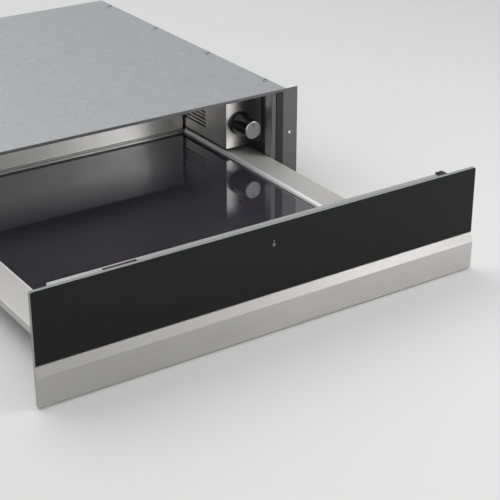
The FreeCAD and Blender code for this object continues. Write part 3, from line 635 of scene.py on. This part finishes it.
class WARMER_OT_drawer_tray(PieceOperator, bpy.types.Operator):
    """Stainless tray with its ledges, the upright rear wall and the lip round the hot plate"""

    bl_idname = "warmer.drawer_tray"
    bl_label = "Drawer tray"

    def make(self, finish, details):
        # The ledges take a lighter copy of the drawer's steel: painted light on their upper faces
        ledge_painted_light_tone = scaled(finish.stainless, 1.08)
        ledge_painted_light_steel = brushed_metal("ledge_painted_light_steel", ledge_painted_light_tone, "X", finish.ledge_roughness)
        wall_steel = brushed_metal("wall_steel", finish.stainless, "X", finish.steel_roughness)
        eased("drawer_tray", ledge_painted_light_steel, details.sheet_edge)
        eased("drawer_back_wall", wall_steel, details.sheet_edge)
        self.add_lip(finish, details)

    def add_lip(self, finish, details):
        """A rolled lip round the hot plate, along both ledges and the foot of the rear wall."""
        plate_low, plate_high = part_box("hot_plate")
        ledge_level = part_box("drawer_tray")[1].z
        foot = plate_high.z + details.lip_rise
        radius = ledge_level + details.lip_rise - foot
        side_axis = plate_high.x + details.lip_gap + radius
        rear_axis = plate_high.y + details.lip_gap + radius
        middle = (plate_low.y + rear_axis) / 2
        run = rear_axis - plate_low.y
        # Pale, mostly dull steel for the side lips: a painted highlight along the rolled edge
        highlight_satin = coated_metal("lip_painted_highlight", finish.lip_painted_highlight, finish.lip_roughness, metal=0.2)
        for side, name in SIDES.items():
            lip = self.round_over((side * side_axis, middle, foot), "+Y", radius, run, (side, 0, 0))
            finish_piece(lip, "plate_lip_" + name, highlight_satin, "drawer")
        # The lip at the foot of the rear wall takes half-tone steel: painted shade where the wall
        # meets the plate
        rear_lip_shade_tone = scaled(finish.stainless, 0.5)
        rear_lip_painted_shade = brushed_metal("rear_lip_painted_shade", rear_lip_shade_tone, "X", finish.steel_roughness)
        lip = self.round_over((0, rear_axis, foot), "+X", radius, 2 * side_axis, (0, 1, 0))
        finish_piece(lip, "plate_lip_rear", rear_lip_painted_shade, "drawer")

    def round_over(self, place, facing, radius, run, outwards):
        """A quarter-round bar along an axis, with its round side up and away from outwards."""
        bar = start_from(
            bpy.ops.mesh.primitive_cylinder_add,
            vertices=40,
            radius=radius,
            depth=run,
            location=place,
            rotation=FACING[facing],
        )
        bpy.ops.object.transform_apply(location=True, rotation=True, scale=True)
        bpy.ops.object.mode_set(mode="EDIT")
        for normal in ((0, 0, -1), outwards):
            bpy.ops.mesh.select_all(action="SELECT")
            bpy.ops.mesh.bisect(plane_co=place, plane_no=normal, use_fill=True, clear_outer=True)
        bpy.ops.object.mode_set(mode="OBJECT")
        return bar


class WARMER_OT_hot_plate(PieceOperator, bpy.types.Operator):
    """Glass hot plate, its seal, heating mat and insulation"""

    bl_idname = "warmer.hot_plate"
    bl_label = "Hot plate"

    def make(self, finish, details):
        glass = dark_glass("plate_glass", finish.plate_black, finish.plate_index, smear=0.04)
        dress(glass, "hot_plate")
        dress(moulded("plate_silicone", finish.rubber_black, roughness=0.5), "plate_seal")
        dress(moulded("heater_film", finish.film_amber, roughness=0.35), "heater_mat")
        self.add_insulation(finish, details)

    def add_insulation(self, finish, details):
        """A stiff board of mineral fibre under the heating mat."""
        low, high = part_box("insulation_pad")
        board = start_from(bpy.ops.mesh.primitive_cube_add, size=1, location=(low + high) / 2)
        board.scale = high - low
        bpy.ops.object.transform_apply(location=False, rotation=True, scale=True)
        bpy.ops.object.mode_set(mode="EDIT")
        bpy.ops.mesh.select_all(action="SELECT")
        bpy.ops.mesh.bevel(offset=details.board_edge, segments=3, affect="EDGES")
        bpy.ops.object.mode_set(mode="OBJECT")
        fibre = fibre_board("mineral_fibre", finish.fibre_tan)
        finish_piece(board, "insulation_board", fibre, "drawer")
        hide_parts("insulation_pad")


class WARMER_OT_runners(PieceOperator, bpy.types.Operator):
    """Telescopic runners and the brackets that carry them"""

    bl_idname = "warmer.runners"
    bl_label = "Runners"

    def make(self, finish, details):
        zinc = brushed_metal("runner_zinc", finish.zinc, "Y", roughness=0.34)
        for name in SIDES.values():
            for member in ("outer", "middle", "inner"):
                eased("runner_%s_%s" % (member, name), zinc, details.sheet_edge)
            eased("runner_bracket_" + name, zinc, details.sheet_edge)


class WARMER_OT_housing(PieceOperator, bpy.types.Operator):
    """Zinc-coated housing, its screws, the cable gland and the terminals"""

    bl_idname = "warmer.housing"
    bl_label = "Housing"

    def make(self, finish, details):
        zinc = zinc_sheet("housing_zinc", finish.zinc)
        for name in ("base", "top", "back", "side_left", "side_right"):
            eased("housing_" + name, zinc, details.sheet_edge)
        dress(moulded("gland_nylon", finish.plastic_black, roughness=0.5), "cable_gland")
        dress(moulded("terminal_nylon", finish.terminal_white, roughness=0.45), "terminal_block")
        steel = brushed_metal("screw_steel", scaled(finish.zinc, 0.8), "X", roughness=0.3)
        places = self.back_places(details) + self.cover_places(details)
        add_screws(details, places, "housing_screws", steel, "housing")

    def back_places(self, details):
        """Two rows of screws across the back sheet."""
        low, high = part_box("housing_back")
        inset = details.screw_inset
        columns = spaced(low.x + inset, high.x - inset, details.back_screw_count)
        return [((x, high.y, z), "+Y") for x in columns for z in (low.z + inset, high.z - inset)]

    def cover_places(self, details):
        """A row of screws along each long edge of the cover."""
        low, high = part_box("housing_top")
        inset = details.screw_inset
        end = details.cover_inset
        along = spaced(low.y + end, high.y - end, details.side_screw_count)
        return [((x, y, high.z), "+Z") for y in along for x in (low.x + inset, high.x - inset)]


class WARMER_OT_front_frame(PieceOperator, bpy.types.Operator):
    """Front frame of the housing and its rubber seals"""

    bl_idname = "warmer.front_frame"
    bl_label = "Front frame"

    def make(self, finish, details):
        coat = coated_metal("frame_coat", finish.frame_grey, roughness=0.38)
        bare = brushed_metal("frame_return_steel", finish.stainless, "Z", finish.steel_roughness)
        seal = moulded("seal_rubber", finish.rubber_black, roughness=0.6)
        eased("front_frame_top", coat, details.sheet_edge)
        for side, name in SIDES.items():
            upright = eased("front_frame_" + name, coat, details.sheet_edge)
            refinish(upright, bare, lambda normal: side * normal.x < -0.5)
            dress(seal, "frame_seal_" + name)


class WARMER_OT_fan_box(PieceOperator, bpy.types.Operator):
    """Polished box with louvres, its switch and lamp"""

    bl_idname = "warmer.fan_box"
    bl_label = "Fan box"

    def make(self, finish, details):
        # The front and back walls take a lighter copy of the steel than the side and floor: painted
        # reflection on the box's front
        painted_light_tone = scaled(finish.stainless, 1.25)
        across = brushed_metal("box_front_painted_reflection", painted_light_tone, "X", finish.polish_roughness)
        along = brushed_metal("box_side_steel", finish.stainless, "Y", finish.polish_roughness)
        walls = {"front": across, "side": along, "floor": along, "back": across}
        for name, steel in walls.items():
            eased("fan_box_" + name, steel, details.sheet_edge)
        dress(moulded("switch_phenolic", finish.plastic_black, roughness=0.45), "selector_switch")
        dress(lamp_lens("lamp_lens", finish.lens_dark, finish.lens_light), "pilot_lamp")


class WARMER_OT_knob(PieceOperator, bpy.types.Operator):
    """Selector knob, its metal cap and shaft"""

    bl_idname = "warmer.knob"
    bl_label = "Knob"

    def make(self, finish, details):
        low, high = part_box("knob_cap")
        centre = (low + high) / 2
        black = moulded("knob_plastic", finish.plastic_black, roughness=0.14, depth=0.000005)
        # The cap's face takes a darker copy of the steel and its rim a lighter one: painted shade on
        # the face and a painted highlight on the rim
        dark, painted_light_tone = scaled(finish.stainless, 0.4), scaled(finish.stainless, 1.3)
        face = turned_metal("knob_cap_painted_shade", dark, centre, roughness=0.38)
        rim = turned_metal("knob_rim_painted_highlight", painted_light_tone, centre, roughness=0.3)
        shaft = turned_metal("shaft_metal", finish.stainless, centre, roughness=0.3)
        eased("knob_body", black, details.sheet_edge)
        cap = eased("knob_cap", face, details.cap_edge)
        refinish(cap, rim, lambda normal: normal.y > -0.95)
        dress(shaft, "selector_shaft")
        self.add_pointer(finish, details)

    def add_pointer(self, finish, details):
        """A dark line on the cap that shows where the knob is set."""
        low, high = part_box("knob_cap")
        reach = (high.z - low.z) / 2
        rise, line_length = reach * 0.6, reach * 0.55
        corner = details.pointer_width * 0.4
        place = ((low.x + high.x) / 2, low.y - INK_FILM / 2, (low.z + high.z) / 2 + rise)
        line = start_from(bpy.ops.mesh.primitive_cube_add, size=1, location=place)
        line.scale = (details.pointer_width, INK_FILM, line_length)
        bpy.ops.object.transform_apply(location=False, rotation=True, scale=True)
        bpy.ops.object.mode_set(mode="EDIT")
        pick_edges(line, lambda edge: abs(edge.verts[0].co.y - edge.verts[1].co.y) > INK_FILM / 2)
        bpy.ops.mesh.bevel(offset=corner, segments=3, affect="EDGES")
        bpy.ops.object.mode_set(mode="OBJECT")
        merge_points(line)
        finish_piece(line, "knob_pointer", printed_ink("pointer_ink", finish.plastic_black), "knob")


class WARMER_OT_fan(PieceOperator, bpy.types.Operator):
    """Cross-flow fan, motor, heater and cut-out"""

    bl_idname = "warmer.fan"
    bl_label = "Fan and heater"

    def make(self, finish, details):
        dress(zinc_sheet("fan_zinc", finish.zinc), "fan_wheel", "fan_scroll")
        dress(coated_metal("motor_coat", finish.motor_grey, roughness=0.4), "fan_motor")
        dress(moulded("heater_ceramic", finish.ceramic_white, roughness=0.6), "air_heater")
        dress(moulded("cutout_phenolic", finish.phenolic_brown, roughness=0.4), "thermal_cutout")


class WARMER_OT_latch(PieceOperator, bpy.types.Operator):
    """Push latch at the back of the housing and its striker"""

    bl_idname = "warmer.latch"
    bl_label = "Push latch"

    def make(self, finish, details):
        dress(moulded("latch_nylon", finish.plastic_black, roughness=0.5), "push_latch_body")
        dress(moulded("plunger_nylon", finish.plunger_white, roughness=0.4), "latch_plunger")
        dress(brushed_metal("striker_steel", finish.stainless, "X", roughness=0.3), "latch_striker")


# Stage

class WARMER_OT_stage(bpy.types.Operator):
    """Floor, light and camera"""

    bl_idname = "warmer.stage"
    bl_label = "Stage"
    bl_options = {"REGISTER", "UNDO"}

    def execute(self, context):
        stage = context.scene.warmer_stage
        self.add_floor(stage)
        self.add_sky(context, stage)
        self.add_graded_panel(context)
        self.add_softbox(
            context,
            "front_box",
            place=(-0.55, -2.4, 0.62),
            target=(0.1, 0.1, 0.07),
            size=(1.6, 0.7),
            power=5.6,
            spread=100,
        )
        self.add_softbox(
            context,
            "floor_box",
            place=(1.3, -1.3, 1.2),
            target=(0.3, -0.6, 0.0),
            size=(0.8, 0.8),
            power=2.8,
            spread=100,
        )
        self.add_softbox(
            context,
            "top_box",
            place=(-0.4, 1.1, 2.1),
            target=(0.0, 0.1, 0.0),
            size=(2.6, 2.4),
            power=27.0,
            spread=180,
        )
        self.add_camera(context, stage)
        context.scene.view_settings.view_transform = "Standard"
        return {"FINISHED"}

    def add_floor(self, stage):
        floor = start_from(
            bpy.ops.mesh.primitive_plane_add, size=60, location=(0, 0, cad_low.z)
        )
        floor.name = "floor"
        material, _, shader = new_material("floor")
        tone = stage.floor_tone
        shader.inputs["Base Color"].default_value = (tone, tone, tone, 1)
        shader.inputs["Roughness"].default_value = 0.9
        floor.data.materials.append(material)

    def add_sky(self, context, stage):
        """Even white light from all round."""
        world = bpy.data.worlds.new("sky")
        context.scene.world = world
        world.use_nodes = True
        sky = world.node_tree.nodes["Background"]
        sky.inputs["Color"].default_value = (1, 1, 1, 1)
        sky.inputs["Strength"].default_value = stage.sky_light

    def add_lamp(self, context, name, place, turn, size, power, spread):
        """A rectangular lamp, with its power in watts and its spread in degrees."""
        bpy.ops.object.light_add(type="AREA", location=place, rotation=turn)
        lamp = context.active_object
        lamp.name = name
        lamp.data.shape = "RECTANGLE"
        lamp.data.size, lamp.data.size_y = size
        lamp.data.energy = power
        lamp.data.spread = math.radians(spread)
        return lamp.data

    def add_softbox(self, context, name, place, target, size, power, spread):
        """A lamp that faces a target."""
        turn = (Vector(target) - Vector(place)).to_track_quat("-Z", "Y").to_euler()
        self.add_lamp(context, name, place, turn, size, power, spread)

    def add_graded_panel(self, context):
        """An upright lamp in front of the drawer, brighter towards its right-hand side."""
        left, right = 0.40, 1.70
        bottom, top = 0.28, 0.84
        distance = 2.0
        radiance = 4.8
        # The panel's tone at two places along X, outside which it stays the same
        tones = {0.95: 0.2, 1.29: 1.0}
        width, height = right - left, top - bottom
        place = ((left + right) / 2, -distance, (bottom + top) / 2)
        upright = (math.pi / 2, 0, 0)
        power = radiance * math.pi * width * height
        lamp = self.add_lamp(
            context, "graded_panel", place, upright, (width, height), power, spread=120
        )
        lamp.use_nodes = True
        tree = lamp.node_tree
        surface = add_node(tree, "ShaderNodeNewGeometry")
        split = add_node(tree, "ShaderNodeSeparateXYZ")
        ramp = add_node(tree, "ShaderNodeValToRGB")
        ramp.color_ramp.interpolation = "EASE"
        for stop, (x, tone) in zip(ramp.color_ramp.elements, tones.items()):
            stop.position = (x - left) / width
            stop.color = (tone, tone, tone, 1)
        tree.links.new(surface.outputs["Parametric"], split.inputs["Vector"])
        tree.links.new(split.outputs["X"], ramp.inputs["Fac"])
        tree.links.new(ramp.outputs["Color"], tree.nodes["Emission"].inputs["Color"])

    def add_camera(self, context, stage):
        turn = (math.pi / 2 + stage.camera_pitch, 0, -stage.camera_yaw)
        bpy.ops.object.camera_add(location=stage.camera_place, rotation=turn)
        camera = context.active_object
        camera.name = "camera"
        camera.data.sensor_width = 36
        camera.data.lens = stage.camera_lens
        context.scene.camera = camera


OPERATORS = (
    WARMER_OT_front_glass,
    WARMER_OT_front_strip,
    WARMER_OT_front_carrier,
    WARMER_OT_drawer_tray,
    WARMER_OT_hot_plate,
    WARMER_OT_runners,
    WARMER_OT_housing,
    WARMER_OT_front_frame,
    WARMER_OT_fan_box,
    WARMER_OT_knob,
    WARMER_OT_fan,
    WARMER_OT_latch,
    WARMER_OT_stage,
)


class WARMER_PT_panel(bpy.types.Panel):
    """Lists the pieces and the stage in the sidebar"""

    bl_idname = "WARMER_PT_panel"
    bl_label = "Warming drawer"
    bl_space_type = "VIEW_3D"
    bl_region_type = "UI"
    bl_category = "Warming drawer"

    def draw(self, context):
        for operator in OPERATORS:
            self.layout.operator(operator.bl_idname)


CLASSES = (FinishSettings, DetailSettings, StageSettings, *OPERATORS, WARMER_PT_panel)


def register():
    for item in CLASSES:
        bpy.utils.register_class(item)
    bpy.types.Scene.warmer_finish = PointerProperty(type=FinishSettings)
    bpy.types.Scene.warmer_details = PointerProperty(type=DetailSettings)
    bpy.types.Scene.warmer_stage = PointerProperty(type=StageSettings)


def unregister():
    del bpy.types.Scene.warmer_stage
    del bpy.types.Scene.warmer_details
    del bpy.types.Scene.warmer_finish
    for item in reversed(CLASSES):
        bpy.utils.unregister_class(item)


def main():
    register()
    bpy.ops.warmer.front_glass()
    bpy.ops.warmer.front_strip()
    bpy.ops.warmer.front_carrier()
    bpy.ops.warmer.drawer_tray()
    bpy.ops.warmer.hot_plate()
    bpy.ops.warmer.runners()
    bpy.ops.warmer.housing()
    bpy.ops.warmer.front_frame()
    bpy.ops.warmer.fan_box()
    bpy.ops.warmer.knob()
    bpy.ops.warmer.fan()
    bpy.ops.warmer.latch()
    bpy.ops.warmer.stage()


if __name__ == "__main__":
    main()
